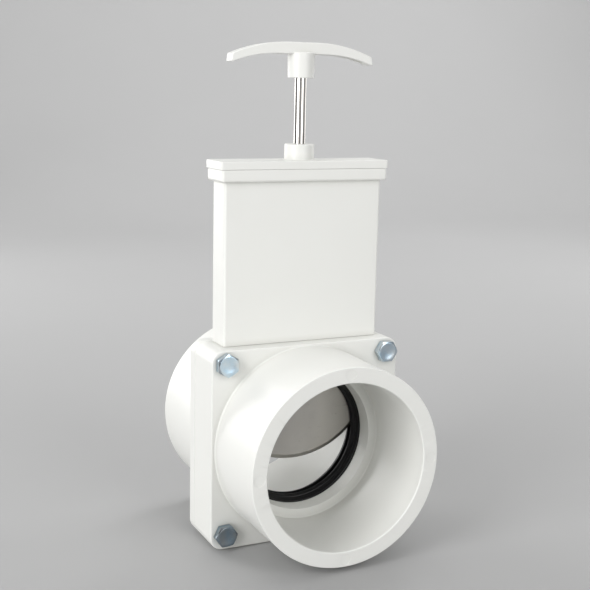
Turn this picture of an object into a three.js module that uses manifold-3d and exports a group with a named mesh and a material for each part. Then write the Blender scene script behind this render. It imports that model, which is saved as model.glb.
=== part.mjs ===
// Hand-pulled PVC knife gate valve with sockets for 3-inch solvent-weld pipe.
// Millimetres, +Z up. X runs across the valve and Y along the pipe. The origin is on the surface
// that the body stands on, below the crossing of the pipe axis and the gate.
// The sub-parts are dimensioned from the pipe axis, and one group lifts them to stand on the ground.
import * as THREE from 'three';
import { mergeVertices } from 'three/addons/utils/BufferGeometryUtils.js';
import Module from 'manifold-3d';

const wasm = await Module();
wasm.setup();

// ---- driving dimensions -------------------------------------------------------------------

const CONTACT_GAP = 0.3; // left between pieces that touch

// Body halves: two mouldings that meet on a plane behind the gate
const BODY_HALF_WIDTH = 55.2;
const BODY_BELOW_AXIS = 55.6;
const BODY_ABOVE_AXIS = 54.2;
const BODY_HALF_DEPTH = 16.6;
const BODY_CORNER_RADIUS = 7;
const SEAM_Y = 9.33;
const END_FACE_Y = 66.4;
const HUB_RADIUS = 53;
const HUB_ROOT_FILLET = 1.1;
const SOCKET_MOUTH_RADIUS = 44.6;
const SOCKET_STOP_RADIUS = 44.3;
const SOCKET_CHAMFER = 0.5;
const SOCKET_STOP_Y = 16.3;
const APPROACH_RADIUS = 39.2; // at the pipe stop, drafted down to the port
const PORT_RADIUS = 38.6;

// Gate: stainless plate with an arched, bevelled lower edge. It rests part open.
const GATE_HALF_WIDTH = 41;
const GATE_HALF_THICKNESS = 1.2;
const GATE_HEIGHT = 95;
const GATE_ARC_RADIUS = 50;
const GATE_REST_BOTTOM = -14.8;
const GATE_CLOSED_BOTTOM = -41;
const GATE_BEVEL_HEIGHT = 2.2;
const GATE_BEVEL_DEPTH = 0.8;
const GATE_TOP_CHAMFER = 4;
const CLOSING_TRAVEL = GATE_REST_BOTTOM - GATE_CLOSED_BOTTOM;

// Gate seals: one rubber ring on each side of the gate
const SEAL_OUTER_RADIUS = 41;
const SEAL_LIP_RADIUS = 35.5;
const SEAL_MOUTH_RADIUS = 37.9;
const SEAL_FRONT_Y = 7;
const SEAL_LIP_Y = 1.5;
const SLOT_HALF_THICKNESS = 1.9;
const SLOT_SIDE_GAP = 0.4;
const SLOT_FLOOR_GAP = 0.6;

// Rear half's plug, which fills the round pocket behind the gate, and the O-ring around it
const PLUG_RADIUS = 46;
const BODY_RING_RADIUS = 49.6;
const BODY_RING_SECTION = 1.05;

// Stem: round bar, forked over the top of the gate and riveted to it
const STEM_RADIUS = 3.175;
const STEM_LENGTH = 139.2;
const FORK_OVERLAP = 11.7;
const RIVET_RADIUS = 1.2;
const RIVET_HEAD_RADIUS = 2.2;
const RIVET_HEAD_HEIGHT = 0.7;
const RIVET_DEPTHS = [3.4, 8.3]; // below the gate's top edge
const FORK_RELIEF_HALF_WIDTH = 4.4;
const FORK_RELIEF_HALF_DEPTH = 4.7;

// Bonnet: flat box that the gate rises into, with a flange around its top
const BONNET_HALF_WIDTH = 45.85;
const BONNET_HALF_DEPTH = 8.5;
const BONNET_INNER_HALF_WIDTH = 41.6;
const BONNET_INNER_HALF_DEPTH = 5.7;
const BONNET_TOP = 147.5;
const BONNET_EDGE_RADIUS = 1.5;
const FLANGE_HALF_WIDTH = 48.2;
const FLANGE_HALF_DEPTH = 11.05;
const FLANGE_THICKNESS = 6.45;
const SPIGOT_HALF_WIDTH = 42.8;
const SPIGOT_HALF_DEPTH = 7;
const SPIGOT_LENGTH = 3.2;

// Bonnet cap with the stem gland
const CAP_HALF_WIDTH = 49;
const CAP_THICKNESS = 4.1;
const CAP_PLUG_LENGTH = 4.6;
const CAP_PLUG_WALL = 2;
const BOSS_RADIUS = 8;
const BOSS_HEIGHT = 8.4;
const GLAND_BORE_RADIUS = 5.3;
const GLAND_FLOOR_ABOVE_CAP = -1.4;
const STEM_RING_SECTION = 0.76;
const GLAND_BUSH_LENGTH = 5.6;

// T-handle
const HANDLE_UNDERSIDE = 194.8; // hub's lower face, above the pipe axis
const HANDLE_HUB_RADIUS = 7.2;
const HANDLE_HUB_TOP = 208;
const HANDLE_HALF_LENGTH = 41;
const HANDLE_HALF_DEPTH = 4;
const HANDLE_TOP = 213.2;
const HANDLE_CROWN_HALF_LENGTH = 8;
const HANDLE_CROWN_ARC = 82;
const HANDLE_ROOT_UNDERSIDE = 207.1;
const HANDLE_UNDERSIDE_STRAIGHT = 14;
const HANDLE_UNDERSIDE_ARC = 74;
const HANDLE_END_SLOPE = 0.8;
const CORE_START = 11;
const CORE_END = 37;
const CORE_HALF_DEPTH = 2.1;
const CORE_RISE = 2.4;
const INSERT_OUTER_RADIUS = 4.6;
const INSERT_LENGTH = 11;

// Fasteners: quarter-inch hex bolts at the body's four corners, with nuts sunk in the rear half
const BOLT_X = 47.3;
const BOLT_Z = 46.9;
const BOLT_RADIUS = 3.175;
const BOLT_LENGTH = 38.1;
const HEX_ACROSS_FLATS = 11.11;
const HEAD_HEIGHT = 3.95;
const NUT_HEIGHT = 5.56;
const HEX_CHAMFER = 0.75;
const NUT_POCKET_FLOOR_Y = 13.6;
const HOLE_CLEARANCE = 0.325;
// Turn of each head about its own axis: they were left as they were tightened
const BOLTS = [
  { corner: 'upper_left', x: -1, z: 1, headTurn: 30 },
  { corner: 'upper_right', x: 1, z: 1, headTurn: 2 },
  { corner: 'lower_left', x: -1, z: -1, headTurn: -5 },
  { corner: 'lower_right', x: 1, z: -1, headTurn: 17 },
];

const PIPE_SEGMENTS = 64;
const RING_SEGMENTS = 48;
const RING_SIDES = 8;
const HEX_CHAMFER_SEGMENTS = 12;
const SMALL_SEGMENTS = 24;
const SHANK_SEGMENTS = 20;
const HUB_SIDES = 36;
const BOSS_SIDES = 32;
const RIVET_SIDES = 16;
const ARC_STEPS = 14;
const PAST = 1; // how far a cutting tool runs past the surface it opens

// ---- materials ----------------------------------------------------------------------------

const whitePvc = new THREE.MeshStandardMaterial({ color: 0xecece6, roughness: 0.35, metalness: 0 });
const stainless = new THREE.MeshStandardMaterial({ color: 0xb4b0a8, roughness: 0.3, metalness: 1 });
const zincSteel = new THREE.MeshStandardMaterial({ color: 0xa9b6c4, roughness: 0.35, metalness: 1 });
const blackRubber = new THREE.MeshStandardMaterial({ color: 0x141414, roughness: 0.6, metalness: 0 });
const brass = new THREE.MeshStandardMaterial({ color: 0xb5924c, roughness: 0.4, metalness: 1 });

// ---- solids from three.js geometry --------------------------------------------------------

// The manifold solid of a closed three.js geometry, with its shared vertices merged
function solid(geometry) {
  const bare = geometry.clone();
  bare.deleteAttribute('normal');
  bare.deleteAttribute('uv');
  const merged = mergeVertices(bare, 1e-4);
  const corners = merged.index.array;
  const kept = [];
  for (let i = 0; i < corners.length; i += 3) {
    const [a, b, c] = corners.slice(i, i + 3);
    if (a !== b && b !== c && c !== a) kept.push(a, b, c);
  }
  const mesh = new wasm.Mesh({
    numProp: 3,
    vertProperties: new Float32Array(merged.attributes.position.array),
    triVerts: new Uint32Array(kept),
  });
  return new wasm.Manifold(mesh);
}

function bufferGeometry(body) {
  const mesh = body.getMesh();
  const geometry = new THREE.BufferGeometry();
  geometry.setAttribute('position', new THREE.BufferAttribute(mesh.vertProperties, 3));
  geometry.setIndex(new THREE.BufferAttribute(mesh.triVerts, 1));
  geometry.computeVertexNormals();
  return geometry;
}

const join = (first, ...others) => others.reduce((body, other) => body.add(other), first);
const cut = (first, ...others) => others.reduce((body, other) => body.subtract(other), first);

// A solid of revolution about Y. The profile is a list of [radius, y] points, anticlockwise: it
// starts and ends on the axis, or closes on itself.
function turnedAboutY(profile, segments) {
  const outline = profile.map(([radius, along]) => new THREE.Vector2(radius, along));
  return new THREE.LatheGeometry(outline, segments);
}

// The same about Z, from [radius, z] points
function turnedAboutZ(profile, segments) {
  return turnedAboutY(profile, segments).rotateX(Math.PI / 2);
}

function discProfile(radius, low, high) {
  return [[0, low], [radius, low], [radius, high], [0, high]];
}

function tubeProfile(inner, outer, low, high) {
  return [[inner, low], [outer, low], [outer, high], [inner, high], [inner, low]];
}

function discAlongY(radius, low, high, segments = PIPE_SEGMENTS) {
  return solid(turnedAboutY(discProfile(radius, low, high), segments));
}

function discAlongZ(radius, low, high, segments = SMALL_SEGMENTS) {
  return solid(turnedAboutZ(discProfile(radius, low, high), segments));
}

// A box given by its low and high corners
function box(low, high) {
  const size = high.map((value, axis) => value - low[axis]);
  const middle = high.map((value, axis) => (value + low[axis]) / 2);
  return solid(new THREE.BoxGeometry(...size).translate(...middle));
}

// A box centred on X = 0 and Y = 0
function centredBox(halfWidth, halfDepth, low, high) {
  return box([-halfWidth, -halfDepth, low], [halfWidth, halfDepth, high]);
}

// An outline drawn in X and Z, extruded along Y
function extrudedAlongY(shape, low, high) {
  const options = { depth: high - low, bevelEnabled: false, curveSegments: ARC_STEPS };
  const geometry = new THREE.ExtrudeGeometry(shape, options);
  return solid(geometry.rotateX(Math.PI / 2).translate(0, high, 0));
}

// An outline drawn in X and Y, extruded along Z
function extrudedAlongZ(shape, low, high) {
  const options = { depth: high - low, bevelEnabled: false, curveSegments: 4 };
  return solid(new THREE.ExtrudeGeometry(shape, options).translate(0, 0, low));
}

function roundedRectangle(left, right, bottom, top, radius) {
  const quarter = Math.PI / 2;
  const shape = new THREE.Shape();
  shape.moveTo(left + radius, bottom);
  shape.lineTo(right - radius, bottom);
  shape.absarc(right - radius, bottom + radius, radius, -quarter, 0);
  shape.lineTo(right, top - radius);
  shape.absarc(right - radius, top - radius, radius, 0, quarter);
  shape.lineTo(left + radius, top);
  shape.absarc(left + radius, top - radius, radius, quarter, 2 * quarter);
  shape.lineTo(left, bottom + radius);
  shape.absarc(left + radius, bottom + radius, radius, 2 * quarter, 3 * quarter);
  return shape;
}

// A ring of round section about Y, centred on y
function roundRing(radius, section, y) {
  const ring = new THREE.TorusGeometry(radius, section, RING_SIDES, RING_SEGMENTS);
  return solid(ring.rotateX(Math.PI / 2).translate(0, y, 0));
}

function piece(name, shape, material) {
  const geometry = shape.isBufferGeometry ? shape : bufferGeometry(shape);
  const mesh = new THREE.Mesh(geometry, material);
  mesh.name = name;
  return mesh;
}

// ---- body halves --------------------------------------------------------------------------

function bodyPlate(low, high) {
  const outline = roundedRectangle(
    -BODY_HALF_WIDTH, BODY_HALF_WIDTH, -BODY_BELOW_AXIS, BODY_ABOVE_AXIS, BODY_CORNER_RADIUS);
  return extrudedAlongY(outline, low, high);
}

// Pipe hub, drawn on the +Y side from inside the plate out to its end face
function hub(side) {
  const root = BODY_HALF_DEPTH;
  const profile = [[0, root - PAST], [HUB_RADIUS + HUB_ROOT_FILLET, root - PAST]];
  for (let step = 0; step <= 3; step += 1) {
    const angle = (step / 3) * (Math.PI / 2);
    profile.push([
      HUB_RADIUS + HUB_ROOT_FILLET * (1 - Math.sin(angle)),
      root + HUB_ROOT_FILLET * (1 - Math.cos(angle)),
    ]);
  }
  profile.push([HUB_RADIUS, END_FACE_Y], [0, END_FACE_Y]);
  return onSide(turnedAboutY(profile, PIPE_SEGMENTS), side);
}

// Water passage of one hub: pipe socket with its stop, approach bore and port
function passage(side) {
  const profile = [
    [0, 0],
    [PORT_RADIUS, 0],
    [PORT_RADIUS, SEAL_FRONT_Y + CONTACT_GAP],
    [APPROACH_RADIUS, SOCKET_STOP_Y],
    [SOCKET_STOP_RADIUS, SOCKET_STOP_Y],
    [SOCKET_MOUTH_RADIUS, END_FACE_Y - SOCKET_CHAMFER],
    [SOCKET_MOUTH_RADIUS + SOCKET_CHAMFER + PAST, END_FACE_Y + PAST],
    [0, END_FACE_Y + PAST],
  ];
  return onSide(turnedAboutY(profile, PIPE_SEGMENTS), side);
}

// A piece drawn on the +Y side, turned about Z to the side asked for
function onSide(geometry, side) {
  return solid(side < 0 ? geometry.rotateZ(Math.PI) : geometry);
}

function boltHoles() {
  const holes = BOLTS.map(({ x, z }) => {
    const reach = END_FACE_Y;
    return solid(turnedAboutY(discProfile(BOLT_RADIUS + HOLE_CLEARANCE, -reach, reach), SMALL_SEGMENTS)
      .translate(x * BOLT_X, 0, z * BOLT_Z));
  });
  return join(...holes);
}

// Slot for the gate: it runs from just below the closed gate up through the body's top
function gateSlot() {
  const halfWidth = GATE_HALF_WIDTH + SLOT_SIDE_GAP;
  const radius = GATE_ARC_RADIUS;
  const middle = GATE_CLOSED_BOTTOM - SLOT_FLOOR_GAP + radius;
  const swing = Math.asin(halfWidth / radius);
  const outline = new THREE.Shape();
  outline.moveTo(halfWidth, BODY_ABOVE_AXIS + PAST);
  outline.lineTo(-halfWidth, BODY_ABOVE_AXIS + PAST);
  outline.absarc(0, middle, radius, -Math.PI / 2 - swing, -Math.PI / 2 + swing);
  return extrudedAlongY(outline, -SLOT_HALF_THICKNESS, SLOT_HALF_THICKNESS);
}

// Room for the forked end of the stem when the gate is down
function forkRelief() {
  const floor = SEAL_OUTER_RADIUS + 3 * CONTACT_GAP;
  return centredBox(
    FORK_RELIEF_HALF_WIDTH, FORK_RELIEF_HALF_DEPTH, floor, BODY_ABOVE_AXIS + PAST);
}

function sealPocket(side) {
  const low = 0;
  const high = SEAL_FRONT_Y + CONTACT_GAP;
  return onSide(
    turnedAboutY(discProfile(SEAL_OUTER_RADIUS + CONTACT_GAP, low, high), PIPE_SEGMENTS), side);
}

// Recess in the body's top that the bonnet's spigot is cemented into
function bonnetRecess() {
  const floor = BODY_ABOVE_AXIS - SPIGOT_LENGTH - CONTACT_GAP;
  return centredBox(
    SPIGOT_HALF_WIDTH + CONTACT_GAP, SPIGOT_HALF_DEPTH + CONTACT_GAP,
    floor, BODY_ABOVE_AXIS + PAST);
}

function ringGroove() {
  const reach = BODY_RING_SECTION + CONTACT_GAP;
  const low = SEAM_Y - 2 * reach;
  return solid(turnedAboutY(
    tubeProfile(BODY_RING_RADIUS - reach, BODY_RING_RADIUS + reach, low, SEAM_Y + PAST),
    RING_SEGMENTS));
}

function frontBody() {
  const face = SEAM_Y - CONTACT_GAP / 2;
  const plugPocket = discAlongY(PLUG_RADIUS + CONTACT_GAP, SLOT_HALF_THICKNESS, face + PAST);
  return cut(
    join(bodyPlate(-BODY_HALF_DEPTH, face), hub(-1)),
    passage(-1), discAlongY(PORT_RADIUS, -PAST, face + PAST),
    sealPocket(-1), gateSlot(), plugPocket, forkRelief(), bonnetRecess(), ringGroove(),
    boltHoles());
}

function rearBody() {
  const face = SEAM_Y + CONTACT_GAP / 2;
  const plug = discAlongY(PLUG_RADIUS, SLOT_HALF_THICKNESS + CONTACT_GAP, face + PAST);
  return cut(
    join(bodyPlate(face, BODY_HALF_DEPTH), hub(1), plug),
    passage(1), sealPocket(1), forkRelief(), boltHoles(), ...nutPockets());
}

// ---- seals --------------------------------------------------------------------------------

// Ring with a square back in its pocket, and a bore that narrows to the lip against the gate
function gateSeal(side) {
  const profile = [
    [SEAL_LIP_RADIUS, SEAL_LIP_Y],
    [SEAL_OUTER_RADIUS - 1, SEAL_LIP_Y],
    [SEAL_OUTER_RADIUS, SEAL_LIP_Y + 1],
    [SEAL_OUTER_RADIUS, SEAL_FRONT_Y],
    [SEAL_MOUTH_RADIUS, SEAL_FRONT_Y],
    [SEAL_MOUTH_RADIUS, SEAL_FRONT_Y - 0.5],
    [SEAL_LIP_RADIUS, SEAL_LIP_Y + 0.6],
    [SEAL_LIP_RADIUS, SEAL_LIP_Y],
  ];
  return onSide(turnedAboutY(profile, PIPE_SEGMENTS), side);
}

function bodyRing() {
  const y = SEAM_Y - BODY_RING_SECTION - CONTACT_GAP / 2 - 0.1;
  return roundRing(BODY_RING_RADIUS, BODY_RING_SECTION, y);
}

// ---- gate, stem and rivets ----------------------------------------------------------------

const gateTop = GATE_REST_BOTTOM + GATE_HEIGHT;
const stemBottom = gateTop - FORK_OVERLAP;
const rivetHeights = RIVET_DEPTHS.map((depth) => gateTop - depth);

function rivetHole(height) {
  const radius = RIVET_RADIUS + CONTACT_GAP;
  const reach = BONNET_HALF_DEPTH;
  return solid(
    turnedAboutY(discProfile(radius, -reach, reach), RIVET_SIDES).translate(0, 0, height));
}

// Disc with both edges bevelled, for the gate's lower end
function gateDisc() {
  const edge = GATE_HALF_THICKNESS - GATE_BEVEL_DEPTH;
  const shoulder = GATE_ARC_RADIUS - GATE_BEVEL_HEIGHT;
  const profile = [
    [0, -GATE_HALF_THICKNESS],
    [shoulder, -GATE_HALF_THICKNESS],
    [GATE_ARC_RADIUS, -edge],
    [GATE_ARC_RADIUS, edge],
    [shoulder, GATE_HALF_THICKNESS],
    [0, GATE_HALF_THICKNESS],
  ];
  const height = GATE_REST_BOTTOM + GATE_ARC_RADIUS;
  return solid(turnedAboutY(profile, 2 * PIPE_SEGMENTS).translate(0, 0, height));
}

function gate() {
  const middle = GATE_REST_BOTTOM + GATE_ARC_RADIUS;
  const arched = gateDisc().intersect(
    centredBox(GATE_HALF_WIDTH, GATE_HALF_THICKNESS + PAST, GATE_REST_BOTTOM - PAST, middle));
  const outline = new THREE.Shape();
  outline.moveTo(-GATE_HALF_WIDTH, middle - PAST);
  outline.lineTo(GATE_HALF_WIDTH, middle - PAST);
  outline.lineTo(GATE_HALF_WIDTH, gateTop - GATE_TOP_CHAMFER);
  outline.lineTo(GATE_HALF_WIDTH - GATE_TOP_CHAMFER, gateTop);
  outline.lineTo(-GATE_HALF_WIDTH + GATE_TOP_CHAMFER, gateTop);
  outline.lineTo(-GATE_HALF_WIDTH, gateTop - GATE_TOP_CHAMFER);
  const upper = extrudedAlongY(outline, -GATE_HALF_THICKNESS, GATE_HALF_THICKNESS);
  return cut(join(arched, upper), ...rivetHeights.map(rivetHole));
}

function stem() {
  const top = stemBottom + STEM_LENGTH;
  const chamfer = 0.6;
  const bar = solid(turnedAboutZ([
    [0, stemBottom],
    [STEM_RADIUS - chamfer / 2, stemBottom],
    [STEM_RADIUS, stemBottom + chamfer / 2],
    [STEM_RADIUS, top - chamfer],
    [STEM_RADIUS - chamfer, top],
    [0, top],
  ], SMALL_SEGMENTS));
  const forkSlot = centredBox(
    STEM_RADIUS + PAST, GATE_HALF_THICKNESS + CONTACT_GAP,
    stemBottom - PAST, gateTop + CONTACT_GAP);
  return cut(bar, forkSlot, ...rivetHeights.map(rivetHole));
}

// Rivet through the fork and the gate, with a low domed head at each end
function rivet(height) {
  const seat = STEM_RADIUS + CONTACT_GAP;
  const dome = RIVET_HEAD_RADIUS * 0.6;
  const end = seat + RIVET_HEAD_HEIGHT;
  const profile = [
    [0, -end],
    [dome, -end],
    [RIVET_HEAD_RADIUS, -seat - 0.2],
    [RIVET_HEAD_RADIUS, -seat],
    [RIVET_RADIUS, -seat],
    [RIVET_RADIUS, seat],
    [RIVET_HEAD_RADIUS, seat],
    [RIVET_HEAD_RADIUS, seat + 0.2],
    [dome, end],
    [0, end],
  ];
  return solid(turnedAboutY(profile, RIVET_SIDES).translate(0, 0, height));
}

// ---- bonnet and its cap -------------------------------------------------------------------

function bonnet() {
  const bottom = BODY_ABOVE_AXIS + CONTACT_GAP;
  const spigotBottom = BODY_ABOVE_AXIS - SPIGOT_LENGTH;
  const wall = roundedRectangle(
    -BONNET_HALF_WIDTH, BONNET_HALF_WIDTH, -BONNET_HALF_DEPTH, BONNET_HALF_DEPTH,
    BONNET_EDGE_RADIUS);
  const flange = roundedRectangle(
    -FLANGE_HALF_WIDTH, FLANGE_HALF_WIDTH, -FLANGE_HALF_DEPTH, FLANGE_HALF_DEPTH,
    BONNET_EDGE_RADIUS);
  const outside = join(
    extrudedAlongZ(wall, bottom, BONNET_TOP - PAST),
    extrudedAlongZ(flange, BONNET_TOP - FLANGE_THICKNESS, BONNET_TOP),
    centredBox(SPIGOT_HALF_WIDTH, SPIGOT_HALF_DEPTH, spigotBottom, bottom + PAST));
  const chamber = centredBox(
    BONNET_INNER_HALF_WIDTH, BONNET_INNER_HALF_DEPTH, spigotBottom - PAST, BONNET_TOP + PAST);
  return cut(outside, chamber);
}

const capBottom = BONNET_TOP + CONTACT_GAP;
const capTop = capBottom + CAP_THICKNESS;
const bossTop = capTop + BOSS_HEIGHT;
const glandFloor = capTop + GLAND_FLOOR_ABOVE_CAP;

// Pocket that keeps the underside of the cap to an even wall, on one side of the gland
function capPocket(side) {
  const inner = BOSS_RADIUS + 1;
  const outer = BONNET_INNER_HALF_WIDTH - CONTACT_GAP - CAP_PLUG_WALL;
  const halfDepth = BONNET_INNER_HALF_DEPTH - CONTACT_GAP - CAP_PLUG_WALL;
  const near = Math.min(side * inner, side * outer);
  const far = Math.max(side * inner, side * outer);
  return box(
    [near, -halfDepth, capBottom - CAP_PLUG_LENGTH - PAST], [far, halfDepth, capBottom + 1]);
}

function bonnetCap() {
  const plate = roundedRectangle(
    -CAP_HALF_WIDTH, CAP_HALF_WIDTH, -FLANGE_HALF_DEPTH, FLANGE_HALF_DEPTH, BONNET_EDGE_RADIUS);
  const boss = solid(turnedAboutZ([
    [0, capTop - PAST],
    [BOSS_RADIUS, capTop - PAST],
    [BOSS_RADIUS, bossTop - 0.6],
    [BOSS_RADIUS - 0.6, bossTop],
    [0, bossTop],
  ], BOSS_SIDES));
  const plug = centredBox(
    BONNET_INNER_HALF_WIDTH - CONTACT_GAP, BONNET_INNER_HALF_DEPTH - CONTACT_GAP,
    capBottom - CAP_PLUG_LENGTH, capBottom + PAST);
  return cut(
    join(extrudedAlongZ(plate, capBottom, capTop), boss, plug),
    discAlongZ(GLAND_BORE_RADIUS, glandFloor, bossTop + PAST, BOSS_SIDES),
    discAlongZ(STEM_RADIUS + HOLE_CLEARANCE, capBottom - CAP_PLUG_LENGTH - PAST, glandFloor + PAST),
    capPocket(-1), capPocket(1));
}

// O-rings that wipe the stem, lowest first
function stemRing(index) {
  const pitch = 2 * STEM_RING_SECTION + CONTACT_GAP;
  const height = glandFloor + CONTACT_GAP + STEM_RING_SECTION + index * pitch;
  const radius = STEM_RADIUS + CONTACT_GAP + STEM_RING_SECTION;
  const ring = new THREE.TorusGeometry(radius, STEM_RING_SECTION, RING_SIDES, SMALL_SEGMENTS);
  return solid(ring.translate(0, 0, height));
}

function glandBush() {
  const inner = STEM_RADIUS + 0.2;
  const outer = GLAND_BORE_RADIUS - CONTACT_GAP;
  const low = bossTop - GLAND_BUSH_LENGTH;
  return solid(turnedAboutZ(tubeProfile(inner, outer, low, bossTop), BOSS_SIDES));
}

// ---- handle -------------------------------------------------------------------------------

// Points along one arm's edge: level out to straightEnd, then falling on an arc
function armEdge(height, straightEnd, arc, end) {
  const points = [];
  for (let step = 0; step <= ARC_STEPS; step += 1) {
    const x = straightEnd + ((end - straightEnd) * step) / ARC_STEPS;
    const drop = arc - Math.sqrt(arc ** 2 - (x - straightEnd) ** 2);
    points.push([x, height - drop]);
  }
  return points;
}

function handleOutline() {
  const top = armEdge(
    HANDLE_TOP, HANDLE_CROWN_HALF_LENGTH, HANDLE_CROWN_ARC, HANDLE_HALF_LENGTH - HANDLE_END_SLOPE);
  const underside = armEdge(
    HANDLE_ROOT_UNDERSIDE, HANDLE_UNDERSIDE_STRAIGHT, HANDLE_UNDERSIDE_ARC, HANDLE_HALF_LENGTH);
  const right = [...underside, ...top.reverse()];
  const left = right.map(([x, z]) => [-x, z]).reverse();
  return new THREE.Shape([...right, ...left].map(([x, z]) => new THREE.Vector2(x, z)));
}

// Hollow along the underside of one arm
function armCore(side) {
  const ceiling = armEdge(
    HANDLE_ROOT_UNDERSIDE + CORE_RISE, HANDLE_UNDERSIDE_STRAIGHT, HANDLE_UNDERSIDE_ARC, CORE_END)
    .filter(([x]) => x >= HANDLE_UNDERSIDE_STRAIGHT);
  const corner = ceiling[ceiling.length - 1];
  const points = [
    [CORE_START, HANDLE_ROOT_UNDERSIDE - HANDLE_HUB_RADIUS],
    [corner[0], HANDLE_ROOT_UNDERSIDE - HANDLE_HUB_RADIUS],
    ...ceiling.reverse(),
    [CORE_START, HANDLE_ROOT_UNDERSIDE + CORE_RISE],
  ];
  const placed = points.map(([x, z]) => new THREE.Vector2(side * x, z));
  return extrudedAlongY(new THREE.Shape(placed), -CORE_HALF_DEPTH, CORE_HALF_DEPTH);
}

function handle() {
  const bar = extrudedAlongY(handleOutline(), -HANDLE_HALF_DEPTH, HANDLE_HALF_DEPTH);
  const hubBody = solid(turnedAboutZ([
    [0, HANDLE_UNDERSIDE],
    [HANDLE_HUB_RADIUS - 0.5, HANDLE_UNDERSIDE],
    [HANDLE_HUB_RADIUS - 0.1, HANDLE_UNDERSIDE + 0.4],
    [HANDLE_HUB_RADIUS, HANDLE_HUB_TOP],
    [0, HANDLE_HUB_TOP],
  ], HUB_SIDES));
  const insertTop = HANDLE_UNDERSIDE + INSERT_LENGTH + 2 * CONTACT_GAP;
  const stemTop = stemBottom + STEM_LENGTH;
  return cut(
    join(bar, hubBody), armCore(-1), armCore(1),
    discAlongZ(INSERT_OUTER_RADIUS + CONTACT_GAP, HANDLE_UNDERSIDE - PAST, insertTop),
    discAlongZ(STEM_RADIUS + CONTACT_GAP, HANDLE_UNDERSIDE, stemTop + CONTACT_GAP));
}

function handleInsert() {
  const low = HANDLE_UNDERSIDE + CONTACT_GAP;
  return solid(turnedAboutZ(
    tubeProfile(STEM_RADIUS + CONTACT_GAP, INSERT_OUTER_RADIUS, low, low + INSERT_LENGTH),
    SMALL_SEGMENTS));
}

// ---- fasteners ----------------------------------------------------------------------------

// Hexagonal bar about Y. At a turn of zero two of its corners point along X.
function hexPrism(acrossFlats, low, high, turn) {
  const cornerRadius = acrossFlats / Math.sqrt(3);
  return new THREE.CylinderGeometry(cornerRadius, cornerRadius, high - low, 6)
    .rotateY(THREE.MathUtils.degToRad(turn + 30))
    .translate(0, (low + high) / 2, 0);
}

// The pockets in the rear half that keep the nuts from turning
function nutPockets() {
  const pocket = hexPrism(
    HEX_ACROSS_FLATS + 2 * CONTACT_GAP, NUT_POCKET_FLOOR_Y, BODY_HALF_DEPTH + PAST, 0);
  return BOLTS.map(({ x, z }) => solid(pocket.clone().translate(x * BOLT_X, 0, z * BOLT_Z)));
}

// Hexagon with chamfered corners about Y. Ends named in chamfered are turned down.
function hexBlock(low, high, turn, chamferLow, chamferHigh) {
  const cornerRadius = HEX_ACROSS_FLATS / Math.sqrt(3);
  const flatRadius = HEX_ACROSS_FLATS / 2;
  const prism = hexPrism(HEX_ACROSS_FLATS, low, high, turn);
  const lowRadius = chamferLow ? flatRadius : cornerRadius + PAST;
  const highRadius = chamferHigh ? flatRadius : cornerRadius + PAST;
  const chamfer = turnedAboutY([
    [0, low],
    [lowRadius, low],
    [cornerRadius + (chamferLow ? 0 : PAST), low + HEX_CHAMFER],
    [cornerRadius + (chamferHigh ? 0 : PAST), high - HEX_CHAMFER],
    [highRadius, high],
    [0, high],
  ], HEX_CHAMFER_SEGMENTS).rotateY(THREE.MathUtils.degToRad(turn));
  return solid(prism).intersect(solid(chamfer));
}

const headSeat = -BODY_HALF_DEPTH - CONTACT_GAP;
const nutLow = NUT_POCKET_FLOOR_Y + CONTACT_GAP;

function bolt({ headTurn }) {
  const tip = headSeat + BOLT_LENGTH;
  const shank = solid(turnedAboutY([
    [0, headSeat - 1],
    [BOLT_RADIUS, headSeat - 1],
    [BOLT_RADIUS, tip - 0.7],
    [BOLT_RADIUS - 0.7, tip],
    [0, tip],
  ], SHANK_SEGMENTS));
  return join(hexBlock(headSeat - HEAD_HEIGHT, headSeat, headTurn, true, false), shank);
}

function nut() {
  const nutHigh = nutLow + NUT_HEIGHT;
  const block = hexBlock(nutLow, nutHigh, 0, true, true);
  return cut(
    block, discAlongY(BOLT_RADIUS + HOLE_CLEARANCE, nutLow - PAST, nutHigh + PAST, SHANK_SEGMENTS));
}

// ---- assembly -----------------------------------------------------------------------------

const fixedPieces = new THREE.Group();
fixedPieces.add(
  piece('front_body', frontBody(), whitePvc),
  piece('rear_body', rearBody(), whitePvc),
  piece('front_gate_seal', gateSeal(-1), blackRubber),
  piece('rear_gate_seal', gateSeal(1), blackRubber),
  piece('body_o_ring', bodyRing(), blackRubber),
  piece('bonnet', bonnet(), whitePvc),
  piece('bonnet_cap', bonnetCap(), whitePvc),
  piece('stem_o_ring_lower', stemRing(0), blackRubber),
  piece('stem_o_ring_upper', stemRing(1), blackRubber),
  piece('gland_bush', glandBush(), whitePvc),
);

for (const place of BOLTS) {
  const fastener = new THREE.Group();
  fastener.position.set(place.x * BOLT_X, 0, place.z * BOLT_Z);
  fastener.add(
    piece(`bolt_${place.corner}`, bolt(place), zincSteel),
    piece(`nut_${place.corner}`, nut(), zincSteel),
  );
  fixedPieces.add(fastener);
}

const slidingPieces = new THREE.Group();
slidingPieces.add(
  piece('gate', gate(), stainless),
  piece('stem', stem(), stainless),
  piece('gate_rivet_upper', rivet(rivetHeights[0]), stainless),
  piece('gate_rivet_lower', rivet(rivetHeights[1]), stainless),
  piece('handle', handle(), whitePvc),
  piece('handle_insert', handleInsert(), brass),
);

const valve = new THREE.Group();
valve.add(fixedPieces, slidingPieces);
valve.position.z = BODY_BELOW_AXIS;

export default valve;
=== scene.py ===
"""Looks of the PVC knife gate valve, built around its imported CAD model.

Shapes are drawn in millimetres from the crossing of the pipe axis and the gate, like the CAD
source, and moved to the row frame, in metres, when a piece is finished. X runs across the valve,
Y along the pipe and Z up along the stem.
"""

import math

import bmesh
import bpy
from mathutils import Matrix, Vector


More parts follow.
